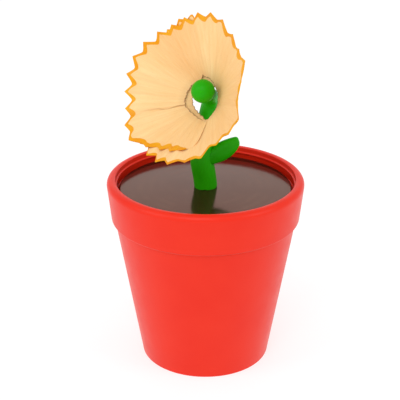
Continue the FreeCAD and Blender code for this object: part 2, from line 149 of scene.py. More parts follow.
# Unevenness: height or share, radians for each degree turned, phase
PAINT_RIPPLE = (0.15, 0.21, 1)
HOLE_RIPPLES = ((0.10, 0.31), (0.07, 0.83))
# Waves round the ribbon: height, how many in a turn, phase; flutes, one for each scallop; and
# where along the slant both grow to their full height
WAVES = ((0.16, 5, 1.0), (0.10, 9, 2.2))
FLUTE, WAVY = 0.14, (6, 22)
# Grid of the ribbon: columns for each scallop, rows from the hole to the paint, rows of paint
CUSP_COLUMNS, WOOD_ROWS, PAINT_ROWS = 16, 26, 3
# The ribbon's map: the angle turned that it takes as 1, and how much each mm of grain is
GRAIN_TURN, GRAIN_SCALE = 560.0, 0.01
# Where the crack through the wood lies
CRACK_AT = 92.0
# How far the rim's peaks reach, against the angle turned from the ribbon's start
REACH = (
    (0, 9.2), (3, 14.8), (6, 17.4), (12, 19.0), (22, 20.4), (30, 20.4), (44, 20.7), (57, 22.3),
    (66, 24.3), (74, 25.2), (98, 23.9), (125, 25.0), (138, 25.2), (152, 24.7), (180, 23.0),
    (200, 23.8), (220, 24.8), (234, 24.6), (247, 23.2), (261, 22.6), (274, 24.6), (280, 24.0),
    (288, 21.8), (302, 21.8), (310, 22.7), (316, 24.4), (322, 22.9), (329, 22.6), (336, 20.8),
    (343, 21.6), (350, 21.0), (356, 23.7), (364, 23.6), (374, 24.2), (384, 24.8), (398, 24.4),
    (440, 22.2), (520, 22.0), (545, 23.4), (558, 24.2), (566, 21.0), (650, 19.0),
)
# How far from the apex the hole's edge is
HOLE = (
    (0, 8.8), (17, 7.5), (50, 6.3), (80, 6.7), (92, 7.2), (108, 7.1), (139, 6.7), (182, 6.1),
    (191, 6.9), (200, 6.3), (212, 5.9), (230, 4.9), (250, 4.0), (270, 4.0), (293, 4.1), (318, 4.7),
    (336, 5.5), (351, 6.4), (361, 7.6), (380, 6.0), (411, 4.9), (440, 4.95), (467, 5.2), (520, 5.0),
    (560, 4.0), (580, 3.7), (650, 3.7),
)
# How many degrees the cone opens further there
FLARE = (
    (0, 1.5), (20, -2.0), (60, 0.5), (120, 0.5), (180, 0.0), (240, 0.0), (285, -0.3), (300, -0.2),
    (308, 1.2), (316, 2.8), (328, 3.0), (340, 3.0), (360, 1.5),
)
# How many half widths a fold spans, and how it fades in and out at its ends
FOLD_SPAN, FOLD_LEAD, FOLD_FADE = 4, 1, 3
# Cracks and folds along the grain: angle turned, half width, depth, from and to along the slant
FOLDS = (
    (92.0, 1.0, 0.30, 6.0, 19.0),
    (128.0, 2.0, 0.10, 8.0, 22.0),
    (168.0, 5.0, 0.35, 7.0, 24.0),
    (205.0, 4.0, -0.22, 9.0, 24.0),
    (222.0, 3.0, 0.20, 8.0, 23.0),
    (262.0, 5.0, -0.20, 8.0, 23.0),
)
# The wood's darker growth bands, with a painted shade band near 0.3 where the ribbon creases: angle
# turned as a share of GRAIN_TURN, darkness
GROWTH_AND_CREASE_SHADE = (
    (0.00, 0.35), (0.06, 0.55), (0.12, 0.25), (0.17, 0.10), (0.24, 0.15), (0.27, 0.55),
    (0.305, 1.00), (0.335, 0.80), (0.365, 0.25), (0.39, 0.05), (0.43, 0.45), (0.49, 0.35),
    (0.54, 0.75), (0.60, 0.55), (0.66, 0.20),
)

# Stage: the camera's place (m), how far down it looks (degrees), its lens and sensor (mm)
CAMERA_PLACE, CAMERA_DOWN, LENS, SENSOR = (-0.00156, -0.2897, 0.1738), 23.6, 100.0, 36.0
CLIP_NEAR, CLIP_FAR = 0.01, 10.0
# The point that the lights are aimed at (m)
LIGHT_TARGET = Vector((0, 0, 0.05))
# Name, azimuth from the front and elevation (degrees), distance and size (m), power (W)
LIGHTS = (
    ("softbox_left", -66, 32, 0.8, 0.35, 1.1),
    ("softbox_right", 66, 32, 0.8, 0.35, 1.0),
    ("front_fill", -12, 46, 0.9, 0.35, 1.75),
    ("back_card", 180, 24, 0.9, 0.9, 0.6),
)
# The sky's strength, half the floor's width (m) and its glow
SKY_LEVEL, FLOOR_HALF, FLOOR_GLOW = 0.74, 4.0, 0.635
FLOOR_DARK, FLOOR_LIGHT = (0.41, 0.41, 0.41), (0.44, 0.44, 0.44)

# The range that most of a noise texture's values fall in
NOISE_LOW, NOISE_HIGH = 0.3, 0.7


# --- small helpers ---------------------------------------------------------------------------


def spline(stations, x):
    """Smooth value at x through (place, value) stations."""
    if x <= stations[0][0]:
        return stations[0][1]
    for i in range(len(stations) - 1):
        x0, y0 = stations[i]
        x1, y1 = stations[i + 1]
        if x <= x1:
            before = stations[i - 1] if i else (2 * x0 - x1, y0)
            after = stations[i + 2] if i + 2 < len(stations) else (2 * x1 - x0, y1)
            m0 = (y1 - before[1]) / (x1 - before[0])
            m1 = (after[1] - y0) / (after[0] - x0)
            h = x1 - x0
            t = (x - x0) / h
            return (
                (2 * t**3 - 3 * t**2 + 1) * y0
                + (t**3 - 2 * t**2 + t) * h * m0
                + (3 * t**2 - 2 * t**3) * y1
                + (t**3 - t**2) * h * m1
            )
    return stations[-1][1]


def smooth(x, low, high):
    """0 up to low, 1 from high on, and an S-shaped rise between them."""
    t = min(1.0, max(0.0, (x - low) / (high - low)))
    return t * t * (3 - 2 * t)


def rounded(corners, closed=True):
    """(r, z) outline from (r, z, corner radius) corners, each rounded by an arc."""
    out = []
    count, steps = len(corners), 6
    for i, (r, z, radius) in enumerate(corners):
        p = Vector((r, z))
        if radius == 0 or (not closed and i in (0, count - 1)):
            out.append(p)
            continue
        a = Vector(corners[i - 1][:2]) - p
        b = Vector(corners[(i + 1) % count][:2]) - p
        half = a.angle(b) / 2
        cut = min(radius / math.tan(half), a.length * 0.49, b.length * 0.49)
        start = p + a.normalized() * cut
        end = p + b.normalized() * cut
        for k in range(steps + 1):
            t = k / steps
            out.append(start * (1 - t) ** 2 + p * (2 * t * (1 - t)) + end * t**2)
    return out


def arc(centre, radius, start, end, steps=12):
    """Points (r, z) of an arc, degrees."""
    out = []
    for k in range(steps + 1):
        a = math.radians(start + (end - start) * k / steps)
        out.append(Vector((centre[0] + radius * math.cos(a), centre[1] + radius * math.sin(a))))
    return out


def lathe(bm, profile, segments=180, closed=True):
    """Adds a surface of revolution; an open profile starts and ends on the axis."""
    rings = []
    for r, z in profile:
        if r < NEARLY_NOTHING:
            rings.append([bm.verts.new((0, 0, z * MM))])
            continue
        ring = []
        for k in range(segments):
            a = TAU * k / segments
            ring.append(bm.verts.new((r * math.cos(a) * MM, r * math.sin(a) * MM, z * MM)))
        rings.append(ring)
    pairs = list(zip(rings, rings[1:])) + ([(rings[-1], rings[0])] if closed else [])
    for lower, upper in pairs:
        for k in range(segments):
            a, b = lower[k % len(lower)], lower[(k + 1) % len(lower)]
            c, d = upper[(k + 1) % len(upper)], upper[k % len(upper)]
            corners = list(dict.fromkeys((a, b, c, d)))
            if len(corners) > 2:
                bm.faces.new(corners)


def bridge(bm, rings):
    """Joins rings of the same count into a tube and closes its ends."""
    for lower, upper in zip(rings, rings[1:]):
        count = len(lower)
        for k in range(count):
            after = (k + 1) % count
            bm.faces.new((lower[k], lower[after], upper[after], upper[k]))
    bm.faces.new(list(reversed(rings[0])))
    bm.faces.new(rings[-1])


def rounded_box(bm, size, centre, turn=0.0):
    """A box in mm with small rounded edges, turned about Z by degrees."""
    verts = bmesh.ops.create_cube(bm, size=1.0)["verts"]
    turned = Matrix.Rotation(math.radians(turn), 4, "Z")
    matrix = turned @ Matrix.Translation(Vector(centre) * MM)
    bmesh.ops.scale(bm, vec=Vector(size) * MM, verts=verts)
    edges = list({e for v in verts for e in v.link_edges})
    new = bmesh.ops.bevel(
        bm, geom=edges, offset=BOX_BEVEL * MM, segments=2, profile=0.5, affect="EDGES"
    )
    verts = {v for f in new["faces"] for v in f.verts}
    bmesh.ops.transform(bm, matrix=matrix, verts=list(verts))


def merge(bm, other):
    """Adds another bmesh to this one and frees it."""
    mesh = bpy.data.meshes.new("merge")
    other.to_mesh(mesh)
    other.free()
    bm.from_mesh(mesh)
    bpy.data.meshes.remove(mesh)


def piece(name, bm, body, node, materials, angle=35):
    """Turns a bmesh into a shaded piece that rides on a body and stands for a CAD node."""
    bmesh.ops.recalc_face_normals(bm, faces=bm.faces)
    mesh = bpy.data.meshes.new(name)
    bm.to_mesh(mesh)
    bm.free()
    obj = bpy.data.objects.new(name, mesh)
    bpy.context.scene.collection.objects.link(obj)
    for material in materials:
        mesh.materials.append(material)
    mesh.shade_smooth()
    mesh.set_sharp_from_angle(angle=math.radians(angle))
    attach(obj, body)
    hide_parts(node)


# --- materials -------------------------------------------------------------------------------


class Nodes:
    """Short calls for building one material's nodes."""

    def __init__(self, name):
        self.material = bpy.data.materials.new(name)
        self.material.use_nodes = True
        self.tree = self.material.node_tree
        self.bsdf = self.tree.nodes["Principled BSDF"]

    def add(self, kind, **values):
        node = self.tree.nodes.new(kind)
        for key, value in values.items():
            if key in node.inputs:
                node.inputs[key].default_value = value
            else:
                setattr(node, key, value)
        return node

    def link(self, source, target):
        self.tree.links.new(source, target)

    def place(self):
        return self.add("ShaderNodeTexCoord").outputs["Object"]

    def noise(self, scale, detail=3.0, vector=None):
        node = self.add("ShaderNodeTexNoise", Scale=scale, Detail=detail)
        self.link(vector or self.place(), node.inputs["Vector"])
        return node.outputs["Fac"]

    def stretched(self, vector, scale, detail):
        """Noise drawn out along one direction by a scale for each axis."""
        mapping = self.add("ShaderNodeMapping")
        mapping.inputs["Scale"].default_value = scale
        self.link(vector, mapping.inputs["Vector"])
        return self.noise(1.0, detail, vector=mapping.outputs["Vector"])

    def spread(self, value, low, high, to_low, to_high):
        node = self.add("ShaderNodeMapRange")
        node.inputs["From Min"].default_value = low
        node.inputs["From Max"].default_value = high
        node.inputs["To Min"].default_value = to_low
        node.inputs["To Max"].default_value = to_high
        self.link(value, node.inputs["Value"])
        return node.outputs["Result"]

    def vary(self, noise, to_low, to_high):
        """Spreads the usual range of a noise between two values."""
        return self.spread(noise, NOISE_LOW, NOISE_HIGH, to_low, to_high)

    def mix(self, factor, a, b):
        node = self.add("ShaderNodeMix", data_type="RGBA")
        if isinstance(factor, (int, float)):
            node.inputs["Factor"].default_value = factor
        else:
            self.link(factor, node.inputs["Factor"])
        for name, value in (("A", a), ("B", b)):
            socket = next(s for s in node.inputs if s.name == name and s.type == "RGBA")
            if isinstance(value, tuple):
                socket.default_value = (*value, 1.0)
            else:
                self.link(value, socket)
        return next(s for s in node.outputs if s.type == "RGBA")

    def math(self, operation, a, b=0.0):
        node = self.add("ShaderNodeMath", operation=operation)
        for socket, value in zip(node.inputs, (a, b)):
            if isinstance(value, (int, float)):
                socket.default_value = value
            else:
                self.link(value, socket)
        return node.outputs["Value"]

    def ramp(self, value, stops):
        """Grey level through (place, level) stops."""
        node = self.add("ShaderNodeValToRGB")
        colours = node.color_ramp
        colours.interpolation = "B_SPLINE"
        while len(colours.elements) < len(stops):
            colours.elements.new(0.5)
        for element, (place, level) in zip(colours.elements, stops):
            element.position = place
            element.color = (level, level, level, 1.0)
        self.link(value, node.inputs["Fac"])
        return node.outputs["Color"]

    def bump(self, height, distance, strength=1.0):
        node = self.add("ShaderNodeBump", Strength=strength, Distance=distance)
        self.link(height, node.inputs["Height"])
        self.link(node.outputs["Normal"], self.bsdf.inputs["Normal"])

    def set(self, **values):
        for key, value in values.items():
            socket = self.bsdf.inputs[key.replace("_", " ")]
            if isinstance(value, tuple):
                socket.default_value = (*value, 1.0)
            elif isinstance(value, (int, float)):
                socket.default_value = value
            else:
                self.link(value, socket)


def plastic(name, dark, light, rough, ior=1.42):
    """Moulded plastic: faint flow marks in the colour and a soft waviness from the tool."""
    n = Nodes(name)
    flow = n.vary(n.noise(90.0, detail=4.0), 0.0, 1.0)
    n.set(Base_Color=n.mix(flow, dark, light), IOR=ior)
    n.set(Roughness=n.vary(n.noise(300.0, detail=4.0), *rough))
    n.bump(n.noise(450.0, detail=2.0), distance=0.000008)
    return n.material


def soil_gloss(name):
    """Glossy dark moulded disc with faint turned rings from its tool."""
    n = Nodes(name)
    rings = n.add("ShaderNodeTexWave", wave_type="RINGS", rings_direction="Z", Scale=110.0)
    rings.inputs["Distortion"].default_value = 2.5
    rings.inputs["Detail"].default_value = 2.0
    rings.inputs["Detail Scale"].default_value = 0.4
    n.link(n.place(), rings.inputs["Vector"])
    cloud = n.noise(160.0, detail=4.0)
    marks = n.math("MULTIPLY", rings.outputs["Fac"], n.spread(cloud, 0.45, 0.65, 0.0, 1.0))
    base = n.mix(cloud, (0.120, 0.042, 0.022), (0.135, 0.050, 0.027))
    base = n.mix(n.math("MULTIPLY", marks, 0.35), base, (0.18, 0.080, 0.048))
    n.set(Base_Color=base, IOR=1.46, Metallic=0.8)
    n.set(Roughness=n.spread(marks, 0.0, 1.0, 0.13, 0.22))
    n.bump(n.math("ADD", marks, n.noise(300.0, detail=2.0)), distance=0.000006, strength=0.6)
    return n.material


def metal(name, colour, rough, line_scale=(3000.0, 120.0, 120.0)):
    """Ground or plated metal: fine lines along one direction over a clouded base."""
    n = Nodes(name)
    lines = n.stretched(n.place(), line_scale, detail=3.0)
    cloud = n.noise(300.0, detail=3.0)
    darker = tuple(c * 0.8 for c in colour)
    n.set(Base_Color=n.mix(cloud, darker, colour), Metallic=1.0)
    n.set(Roughness=n.vary(lines, rough * 0.8, rough * 1.25))
    n.bump(lines, distance=0.000006)
    return n.material


def rubber(name):
    """Matt black rubber with a slightly dusty cloud."""
    n = Nodes(name)
    cloud = n.noise(800.0, detail=4.0)
    n.set(Base_Color=n.mix(cloud, (0.02, 0.02, 0.021), (0.045, 0.044, 0.042)))
    n.set(Roughness=n.vary(cloud, 0.5, 0.7))
    n.bump(n.noise(1500.0, detail=2.0), distance=0.00001)
    return n.material


def wood(name):
    """Planed softwood: fibres from the hole to the rim, growth bands with a painted shade band
    where the ribbon creases, and a brown inner edge.

    The ribbon's own coordinates are GRAIN_SCALE for each mm along the grain, and across it the
    angle turned as a share of GRAIN_TURN.
    """
    n = Nodes(name)
    uv = n.add("ShaderNodeUVMap", uv_map="ribbon").outputs["UV"]
    split = n.add("ShaderNodeSeparateXYZ")
    n.link(uv, split.inputs["Vector"])
    across, along = split.outputs["X"], split.outputs["Y"]

    fibre = n.stretched(uv, (1000.0, 22.0, 1.0), detail=4.0)
    streak = n.stretched(uv, (160.0, 5.0, 1.0), detail=3.0)
    patch = n.stretched(uv, (22.0, 6.0, 1.0), detail=2.0)
    pores = n.spread(n.stretched(uv, (1400.0, 160.0, 1.0), detail=1.0), 0.68, 0.78, 0.0, 1.0)
    # Growth bands, and near 0.3 a band of painted shade where the ribbon creases
    growth_and_crease_shade = n.ramp(across, GROWTH_AND_CREASE_SHADE)
    pale, warm, growth_and_shade_tan = (0.92, 0.575, 0.225), (0.98, 0.70, 0.325), (0.86, 0.44, 0.135)
    streak_tan, fibre_pale, pore_brown = (0.82, 0.44, 0.15), (0.95, 0.68, 0.38), (0.42, 0.19, 0.07)
    base = n.mix(n.spread(patch, 0.35, 0.65, 0.0, 1.0), pale, warm)
    base = n.mix(n.math("MULTIPLY", growth_and_crease_shade, 0.95), base, growth_and_shade_tan)
    base = n.mix(n.spread(streak, 0.35, 0.7, 0.0, 0.50), base, streak_tan)
    base = n.mix(n.vary(fibre, 0.0, 0.42), base, fibre_pale)
    base = n.mix(n.math("MULTIPLY", pores, 0.58), base, pore_brown)

    # The wood turns brown towards the hole's edge, and dark brown in its last fraction of a
    # millimetre
    ragged = n.math("ADD", along, n.vary(streak, -0.0012, 0.0012))
    hole_edge_brown, hole_rim_brown = (0.52, 0.25, 0.10), (0.22, 0.075, 0.025)
    base = n.mix(n.spread(ragged, 0.002, 0.022, 0.22, 0.0), base, hole_edge_brown)
    base = n.mix(n.spread(ragged, 0.0008, 0.0028, 0.80, 0.0), base, hole_rim_brown)

    # A crack that wanders along the grain and fades towards the rim
    wander = n.vary(n.stretched(uv, (6.0, 16.0, 1.0), detail=1.0), -0.004, 0.004)
    wandering = n.math("ADD", across, wander)
    from_crack = n.math("ABSOLUTE", n.math("SUBTRACT", wandering, CRACK_AT / GRAIN_TURN))
    crack = n.spread(from_crack, 0.0002, 0.0026, 1.0, 0.0)
    crack = n.math("MULTIPLY", crack, n.spread(along, 0.01, 0.12, 0.70, 0.08))
    crack_brown = (0.36, 0.15, 0.05)
    base = n.mix(crack, base, crack_brown)
    n.set(Base_Color=base, Roughness=n.vary(fibre, 0.55, 0.72))
    n.bump(n.math("ADD", fibre, n.math("MULTIPLY", streak, 1.5)), distance=0.00004)
    return n.material


def lacquer(name):
    """The pencil's orange-yellow paint, left as the band round the rim."""
    n = Nodes(name)
    cloud = n.spread(n.noise(260.0, detail=3.0), 0.4, 0.62, 0.0, 1.0)
    n.set(Base_Color=n.mix(cloud, (0.79, 0.295, 0.0005), (0.83, 0.375, 0.005)), IOR=1.3)
    n.set(Roughness=n.vary(n.noise(1500.0, detail=3.0), 0.32, 0.45))
    n.bump(n.noise(900.0, detail=2.0), distance=0.00001)
    return n.material


# --- pieces ----------------------------------------------------------------------------------


def pot_profile():
    """Closed (r, z) outline of the pot's wall; each corner's last number is its rounding."""
    inner_r = FOOT_R + (BODY_TOP_R - FOOT_R) * FLANGE_TOP / BODY_TOP_Z - WALL
    corners = [
        (FOOT_INNER_R, 0, 0.3),
        (FOOT_R, 0, 0.3),
        (BODY_TOP_R, BODY_TOP_Z, 0.25),
        (BAND_R, BAND_Z, 0.6),
    ]
    lip_centre = (LIP_CENTRE_R, POT_H - LIP_R)
    lip = arc(lip_centre, LIP_R, LIP_START, LIP_END - LIP_EDGE_TURN)
    corners += [(p.x, p.y, 0) for p in lip]
    inner_edge = arc(lip_centre, LIP_R, LIP_END, LIP_END, steps=1)[0]
    corners += [
        (inner_edge.x, inner_edge.y, 0.12),
        (BEAD_ABOVE_R, BEAD_Z + BEAD_H, 0.15),
        (WELL_R, BEAD_Z, 0.12),
        (WELL_R, BEAD_Z - BEAD_H, 0.12),
        (WELL_DEEP_R, BEAD_Z - BEAD_UNDERCUT, 0.15),
        (WELL_DEEP_R, LEDGE_Z + STEP_HIGH, 0.3),
        (WELL_R, LEDGE_Z + STEP_LOW, 0.2),
        (WELL_R, LEDGE_Z, 0.2),
        (MOUTH_R, LEDGE_Z, 0.25),
        (MOUTH_R, MOUTH_Z, 2.0),
        (inner_r, FLANGE_TOP, 0.8),
        (FLANGE_R, FLANGE_TOP, 0.25),
        (FLANGE_R, FLANGE_LOW, 0.15),
        (FOOT_INNER_R, FLANGE_LOW, 0.15),
    ]
    return rounded(corners)


def screw_boss():
    """One boss and its web, at the origin, with the web towards +X."""
    low = FLANGE_LOW + BOSS_START
    bm = bmesh.new()
    corners = [(0, low, 0), (BOSS_R, low, 0.1), (BOSS_R, BOSS_TOP_Z, 0.3), (0, BOSS_TOP_Z, 0)]
    lathe(bm, rounded(corners, closed=False), segments=48, closed=False)
    web_low = FLANGE_TOP - WEB_SINK
    web_high = BOSS_TOP_Z - WEB_TOP_DROP
    size = (WEB_L, WEB_T, web_high - web_low)
    rounded_box(bm, size, (BOSS_R + WEB_L / 2 - WEB_OVERLAP, 0, (web_low + web_high) / 2))
    return bm


def make_pot(material):
    bm = bmesh.new()
    lathe(bm, pot_profile())
    for angle in BOSS_ANGLES:
        boss = screw_boss()
        turn = Matrix.Rotation(math.radians(angle), 4, "Z")
        place = turn @ Matrix.Translation((BOSS_PITCH_R * MM, 0, 0))
        bmesh.ops.transform(boss, matrix=place, verts=boss.verts)
        merge(bm, boss)
    piece("pot", bm, "pot", "pot_shell", [material])


def make_lid(material):
    """The disc with its skirt, the skirt's round groove, the middle boss and the ribs."""
    dip = math.degrees(math.acos((SKIRT_R - RING_R) / RING_SECTION_R))
    skirt_in = SKIRT_R - SKIRT_WALL
    groove_above = RING_Z + GROOVE_HALF_H
    groove_below = RING_Z - GROOVE_HALF_H
    upper = rounded(
        [
            (0, LID_TOP_Z, 0),
            (LID_R, LID_TOP_Z, 0.45),
            (LID_R, LEDGE_Z, 0.15),
            (SKIRT_R, LEDGE_Z, 0.1),
            (SKIRT_R, groove_above, 0),
        ],
        closed=False,
    )
    groove = arc((RING_R, RING_Z), RING_SECTION_R, dip, 360 - dip, steps=16)
    lower = rounded(
        [
            (SKIRT_R, groove_below, 0),
            (SKIRT_R, SKIRT_LOW, 0.3),
            (skirt_in, SKIRT_LOW, 0.3),
            (skirt_in, LEDGE_Z, 0.3),
            (LID_BOSS_R, LEDGE_Z, 0.3),
            (LID_BOSS_R, SKIRT_LOW, 0.3),
            (0, SKIRT_LOW, 0),
        ],
        closed=False,
    )
    bm = bmesh.new()
    lathe(bm, upper + groove + lower, closed=False)
    size = (skirt_in - LID_BOSS_R + 2 * RIB_OVERLAP, RIB_T, LEDGE_Z - RIB_LOW + RIB_RISE)
    middle = ((skirt_in + LID_BOSS_R) / 2, 0, (LEDGE_Z + RIB_LOW) / 2 + RIB_RISE / 2)
    for i in range(LID_RIBS):
        rounded_box(bm, size, middle, 360 / LID_RIBS * i)
    piece("soil_lid_top", bm, "lid", "soil_lid", [material])


def stem_path():
    """Points and radii along the stem, from the peg's end to the end of the knob."""
    stations = list(range(len(STEM)))
    tracks = [tuple(zip(stations, (p[k] for p, r in STEM))) for k in range(3)]
    radii = tuple(zip(stations, (r for p, r in STEM)))
    base_r = STEM[0][1]
    path = [
        (Vector((0, 0, PEG_LOW)), PEG_R - PEG_CHAMFER),
        (Vector((0, 0, PEG_LOW + PEG_CHAMFER)), PEG_R),
        (Vector((0, 0, LID_TOP_Z + STEM_SEAT)), PEG_R),
    ]
    for offset, rise, thinner in STEM_FOOT:
        path.append((Vector((offset, 0, LID_TOP_Z + rise)), base_r - thinner))
    per_station = 10
    for i in range((len(STEM) - 1) * per_station + 1):
        point = Vector([spline(track, i / per_station) for track in tracks])
        if point.z > LID_TOP_Z + STEM_FOOT_TOP:
            path.append((point, spline(radii, i / per_station)))
    knob = Vector(STEM[-1][0])
    along = (knob - Vector(STEM[-2][0])).normalized()
    path = [(p, r) for p, r in path if (p - knob).dot(along) < -KNOB_R * KNOB_SHAFT_END]
    neck_r = STEM[-1][1]
    steps, blend = 24, 5
    for k in range(steps + 1):
        a = math.radians(KNOB_START + KNOB_SWEEP * k / steps)
        r = KNOB_R * math.cos(a)
        if k < blend:
            r = max(r, neck_r + (r - neck_r) * k / blend)
        path.append((knob + along * (KNOB_R * math.sin(a)), max(r, KNOB_POLE_R)))
    return path


def make_stem(material):
    path = stem_path()
    bm = bmesh.new()
    rings = []
    across = Vector((1, 0, 0))
    along = Vector((0, 0, 1))
    count = 48
    for i, (point, radius) in enumerate(path):
        step = path[min(i + 1, len(path) - 1)][0] - path[max(i - 1, 0)][0]
        if step.length > NEARLY_NOTHING:
            along = step.normalized()
        across = (across - along * across.dot(along)).normalized()
        up = along.cross(across)
        ring = []
        for k in range(count):
            a = TAU * k / count
            out = across * math.cos(a) + up * math.sin(a)
            ring.append(bm.verts.new((point + out * radius) * MM))
        rings.append(ring)
    bridge(bm, rings)
    piece("stem_hook", bm, "lid", "stem", [material], angle=60)


def leaf_section(t, count):
    """Points (across, through) of the leaf's section at a share of its length."""
    size = spline(LEAF_WIDTHS, t)
    major = LEAF_HALF_WIDTH * size
    thickness = LEAF_HALF_THICK * (LEAF_THIN_SHARE + (1 - LEAF_THIN_SHARE) * size)
    minor = min(thickness, major * LEAF_FLATTEST)
    hollow_here = smooth(t, *LEAF_HOLLOW_BEGINS) * (1 - smooth(t, *LEAF_HOLLOW_ENDS))
    points = []
    for k in range(count):
        a = TAU * k / count
        x = math.copysign(abs(math.cos(a)) ** LEAF_SQUARE_WIDE, math.cos(a)) * major
        y = math.copysign(abs(math.sin(a)) ** LEAF_SQUARE_THICK, math.sin(a)) * minor
        hollow = LEAF_HOLLOW * math.exp(-((x / (LEAF_HOLLOW_WIDTH * LEAF_HALF_WIDTH)) ** 2))
        points.append((x, y * (1 - hollow * hollow_here)))
    return points


def make_leaf(material):
    """A thick leaf with flattened faces, a soft hollow along its middle and a blunt tip."""
    along = (LEAF_TIP - LEAF_ROOT).normalized()
    length = (LEAF_TIP - LEAF_ROOT).length
    side = along.cross(Vector((0, -1, 0))).normalized()
    face = side.cross(along)
    bm = bmesh.new()
    rings = []
    steps, count = 48, 44
    for i in range(steps + 1):
        t = 1 - (1 - i / steps) ** LEAF_CROWDING
        # Its middle line is a parabola, LEAF_BOW high
        centre = LEAF_ROOT + along * (length * t) + side * (LEAF_BOW * 4 * t * (1 - t))
        # The tip's end leans back towards its upper side
        lean = -LEAF_LEAN * smooth(t, *LEAF_LEANING)
        ring = []
        for x, y in leaf_section(t, count):
            ring.append(bm.verts.new((centre + side * x + face * y + along * (lean * x)) * MM))
        rings.append(ring)
    bridge(bm, rings)
    bm.faces.ensure_lookup_table()
    bmesh.ops.bevel(
        bm,
        geom=list(bm.faces[-1].edges),
        offset=LEAF_TIP_BEVEL * MM,
        segments=3,
        profile=0.5,
        affect="EDGES",
    )
    piece("leaf_blade", bm, "lid", "leaf", [material], angle=60)


def cone_frame():
    """The shaving's axis and the two directions across it: to the viewer's right, and up."""
    turn, rise = math.radians(AZIMUTH), math.radians(ELEVATION)
    level = math.cos(rise)
    axis = Vector((-math.sin(turn) * level, -math.cos(turn) * level, math.sin(rise)))
    right = Vector((0, 0, 1)).cross(axis).normalized()
    return axis, right, axis.cross(right)


def fold_depth(turned, slant):
    """How far the ribbon dips into its cracks and folds there."""
    total = 0.0
    for at, half_width, depth, low, high in FOLDS:
        if abs(turned - at) < FOLD_SPAN * half_width:
            shape = math.exp(-(((turned - at) / half_width) ** 2))
            fade_in = smooth(slant, low - FOLD_LEAD, low + FOLD_FADE)
            fade_out = smooth(slant, high - FOLD_FADE, high)
            total += depth * shape * (fade_in * (1 - fade_out))
    return total


def ribbon_point(turned, slant, depth):
    """A point of the ribbon: degrees turned, mm from the apex and mm behind its face."""
    axis, right, up = cone_frame()
    around = math.radians(START - turned)
    opening = math.radians(HALF_ANGLE + spline(FLARE, turned % 360))
    out = right * math.cos(around) + up * math.sin(around)
    wave = sum(height * math.sin(count * around + phase) for height, count, phase in WAVES)
    flute = FLUTE * math.cos(TAU * (math.degrees(around) - CUSP_AT) / CUSP_STEP)
    lift = (wave + flute) * smooth(slant, *WAVY) - fold_depth(turned, slant)
    normal = axis * math.sin(opening) - out * math.cos(opening)
    dip = START_DIP * (1 - smooth(turned, *START_RISES))
    behind = TURN_GAP * turned / 360 + depth + dip
    ray = axis * math.cos(opening) + out * math.sin(opening)
    return APEX + ray * slant + normal * (lift - behind)


def cusp_unevenness():
    """For each scallop, by what share it is cut deeper and how much it leans to one side."""
    rng = random.Random(CUSP_SEED)
    uneven = {}
    for k in range(-60, 60):
        deeper = rng.uniform(-CUSP_DEPTH_SPREAD, CUSP_DEPTH_SPREAD)
        uneven[k] = (deeper, rng.uniform(-CUSP_LEAN_SPREAD, CUSP_LEAN_SPREAD))
    return uneven


def rim(turned, uneven):
    """Distance of the scalloped rim: V-shaped peaks with rounded valleys between."""
    phase = (START - turned - CUSP_AT) / CUSP_STEP
    index = math.floor(phase)
    deeper, leaning = uneven[index]
    t = phase - index
    t += CUSP_LEAN * leaning * math.sin(math.pi * t)
    cut = 1 - abs(2 * t - 1) ** CUSP_POWER
    deep = CUSP_DEPTH * (1 + deeper)
    first = 1 - smooth(turned, *SCALLOPS_DEEPEN)
    grazed = smooth(turned, *GRAZED_FROM) * (1 - smooth(turned, *GRAZED_TO))
    deep *= (1 - FIRST_LOSS * first) * (1 - GRAZED_LOSS * grazed)
    return spline(REACH, turned) - deep * cut * smooth(turned, *SCALLOPED)


def paint_width(turned):
    """Wider on one flank of each scallop, and widest on the ribbon's first ones."""
    around = math.radians(START - turned)
    flank = math.sin(TAU * (START - turned - CUSP_AT) / CUSP_STEP)
    leaning = PAINT_FLANK * flank * (-math.cos(around) - math.sin(around))
    ripple, rate, phase = PAINT_RIPPLE
    first = PAINT_FIRST * (1 - smooth(turned, *PAINT_FIRST_ENDS))
    first += ripple * math.sin(turned * rate + phase)
    last = PAINT_LAST * smooth(turned, *PAINT_LAST_BEGINS)
    return PAINT_W * (1 + leaning + first - last)


def ribbon_slants(turned, uneven):
    """Distances from the apex of one column's points, from the hole's edge to the rim."""
    inner = spline(HOLE, turned)
    for height, rate in HOLE_RIPPLES:
        inner += height * math.sin(turned * rate)
    outer = max(rim(turned, uneven), inner + RIBBON_LEAST)
    band = min(paint_width(turned), (outer - inner) * PAINT_SHARE)
    band *= PAINT_THINNEST + (1 - PAINT_THINNEST) * smooth(turned, *PAINT_BEGINS)
    slants = [inner + (outer - band - inner) * (k / WOOD_ROWS) for k in range(WOOD_ROWS + 1)]
    return slants + [outer - band * (1 - k / PAINT_ROWS) for k in range(1, PAINT_ROWS + 1)]


